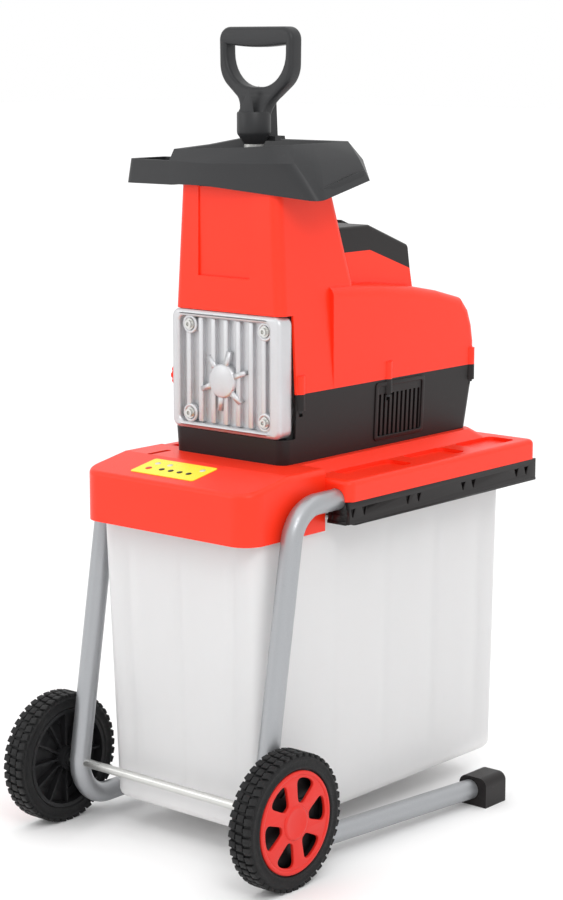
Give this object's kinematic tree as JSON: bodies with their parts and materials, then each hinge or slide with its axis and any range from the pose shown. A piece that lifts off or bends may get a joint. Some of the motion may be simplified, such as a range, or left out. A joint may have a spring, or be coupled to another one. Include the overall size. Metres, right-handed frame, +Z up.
{
  "type": "garden wood chipper",
  "caption": "Quiet drum wood chipper with a feed tower, ribbed cast cutter cover, pull-out translucent bin and a two-wheeled tube frame.",
  "frame": {"origin": "on the ground, in the middle of the footprint", "axes": "+Z up; -Y towards the wheels, feed tower and cast cover; +X to the operator's right when facing +Y"},
  "size_m": [0.447, 0.66, 1.08],
  "materials": {
    "red_plastic": "satin moulded plastic",
    "charcoal_plastic": "fine textured moulded plastic",
    "black_plastic": "moulded plastic",
    "silver_paint": "powder coated tube",
    "bin_plastic": "milky moulded plastic",
    "tyre_black": "hard tread",
    "wheel_black": "moulded plastic",
    "trim_red": "moulded plastic",
    "cast_aluminium": "blasted casting",
    "bright_steel": "zinc plated",
    "tool_steel": "ground steel",
    "gear_steel": "oiled steel",
    "lamination_steel": "stacked sheet steel",
    "copper_winding": "varnished wire",
    "capacitor_white": "moulded can",
    "switch_grey": "moulded plastic",
    "fan_black": "moulded plastic",
    "button_green": "moulded plastic",
    "button_red": "moulded plastic",
    "plate_yellow": "printed foil without lettering"
  },
  "bodies": {
    "machine": {"frame_tube_left": "silver_paint", "frame_tube_right": "silver_paint", "axle": "bright_steel", "axle_spacers": "wheel_black", "axle_clips": "bright_steel", "foot_left": "black_plastic", "foot_right": "black_plastic", "frame_bolts": "bright_steel", "deck": "red_plastic", "guide_rail_left": "black_plastic", "guide_rail_right": "black_plastic", "rail_screws": "bright_steel", "info_plate": "plate_yellow", "bin_switch": "switch_grey", "lower_housing": "black_plastic", "upper_housing": "red_plastic", "housing_screws": "bright_steel", "control_box": "black_plastic", "switch_module": "switch_grey", "mains_inlet": "black_plastic", "cutter_cover": "cast_aluminium", "cover_screws": "bright_steel", "cutter_housing": "cast_aluminium", "drum_bearings": "tool_steel", "gearbox_case": "cast_aluminium", "gearbox_cover": "cast_aluminium", "motor_stator": "lamination_steel", "motor_windings": "copper_winding", "motor_bearings": "tool_steel", "motor_end_shield": "cast_aluminium", "capacitor": "capacitor_white", "capacitor_clip": "bright_steel", "hopper": "charcoal_plastic"},
    "wheel_left": {"tyre_left": "tyre_black", "wheel_core_left": "wheel_black", "wheel_trim_left": "trim_red"},
    "wheel_right": {"tyre_right": "tyre_black", "wheel_core_right": "wheel_black", "wheel_trim_right": "trim_red"},
    "bin": {"collection_bin": "bin_plastic"},
    "bin_lock": {"bin_lock_slider": "red_plastic"},
    "pusher": {"pusher_handle": "charcoal_plastic", "pusher_shaft": "bright_steel", "pusher_paddle": "charcoal_plastic"},
    "drum": {"cutter_drum": "tool_steel", "drum_shaft": "tool_steel", "output_gear": "gear_steel"},
    "second_countershaft": {"second_gear": "gear_steel"},
    "first_countershaft": {"first_gear": "gear_steel"},
    "rotor": {"motor_rotor": "gear_steel", "motor_pinion": "gear_steel", "cooling_fan": "fan_black"},
    "plate": {"pressure_plate": "tool_steel"},
    "knob": {"adjust_knob": "red_plastic", "adjust_screw": "bright_steel"},
    "selector": {"direction_selector": "black_plastic"},
    "start": {"start_button": "button_green"},
    "stop": {"stop_button": "button_red"},
    "reset": {"reset_button": "button_red"}
  },
  "joints": [
    {"name": "wheel_left_spin", "type": "hinge", "parent": "machine", "child": "wheel_left", "pos_m": [-0.2035, -0.24, 0.09], "axis": [1, 0, 0], "continuous": true},
    {"name": "wheel_right_spin", "type": "hinge", "parent": "machine", "child": "wheel_right", "pos_m": [0.2035, -0.24, 0.09], "axis": [1, 0, 0], "continuous": true},
    {"name": "bin_slide", "type": "slide", "parent": "machine", "child": "bin", "axis": [0, 1, 0], "range_m": [0, 0.45]},
    {"name": "bin_lock_slide", "type": "slide", "parent": "machine", "child": "bin_lock", "axis": [0, 0, -1], "range_m": [0, 0.014]},
    {"name": "pusher_lift", "type": "slide", "parent": "machine", "child": "pusher", "axis": [0, 0, 1], "range_m": [0, 0.25]},
    {"name": "rotor_spin", "type": "hinge", "parent": "machine", "child": "rotor", "pos_m": [0, 0.12, 0.612], "axis": [0, 1, 0], "continuous": true},
    {"name": "first_countershaft_spin", "type": "hinge", "parent": "machine", "child": "first_countershaft", "pos_m": [0.04156, 0.03, 0.62203], "axis": [0, 1, 0], "continuous": true},
    {"name": "second_countershaft_spin", "type": "hinge", "parent": "machine", "child": "second_countershaft", "pos_m": [0.01438, 0.02, 0.65502], "axis": [0, 1, 0], "continuous": true},
    {"name": "drum_spin", "type": "hinge", "parent": "machine", "child": "drum", "pos_m": [-0.007, -0.058, 0.618], "axis": [0, 1, 0], "continuous": true},
    {"name": "knob_turn", "type": "hinge", "parent": "machine", "child": "knob", "pos_m": [-0.11, -0.086, 0.614], "axis": [-1, 0, 0], "range_deg": [0, 720]},
    {"name": "plate_advance", "type": "slide", "parent": "machine", "child": "plate", "axis": [1, 0, 0], "range_m": [0, 0.0025]},
    {"name": "selector_turn", "type": "hinge", "parent": "machine", "child": "selector", "pos_m": [0, 0.125, 0.80131], "axis": [0, 0.3499, 0.9368], "range_deg": [-45, 45]},
    {"name": "start_press", "type": "slide", "parent": "machine", "child": "start", "axis": [0, 0, -1], "range_m": [0, 0.003], "stiffness_N_per_m": 400},
    {"name": "stop_press", "type": "slide", "parent": "machine", "child": "stop", "axis": [0, 0, -1], "range_m": [0, 0.003], "stiffness_N_per_m": 400},
    {"name": "reset_press", "type": "slide", "parent": "machine", "child": "reset", "axis": [0, -0.3499, -0.9368], "range_m": [0, 0.002], "stiffness_N_per_m": 400}
  ],
  "couplings": [
    {"joint": "first_countershaft_spin", "follows": "rotor_spin", "ratio": -0.23913},
    {"joint": "second_countershaft_spin", "follows": "rotor_spin", "ratio": 0.057183},
    {"joint": "drum_spin", "follows": "rotor_spin", "ratio": -0.013674},
    {"joint": "knob_turn", "follows": "plate_advance", "rad_per_m": 5026.5}
  ]
}
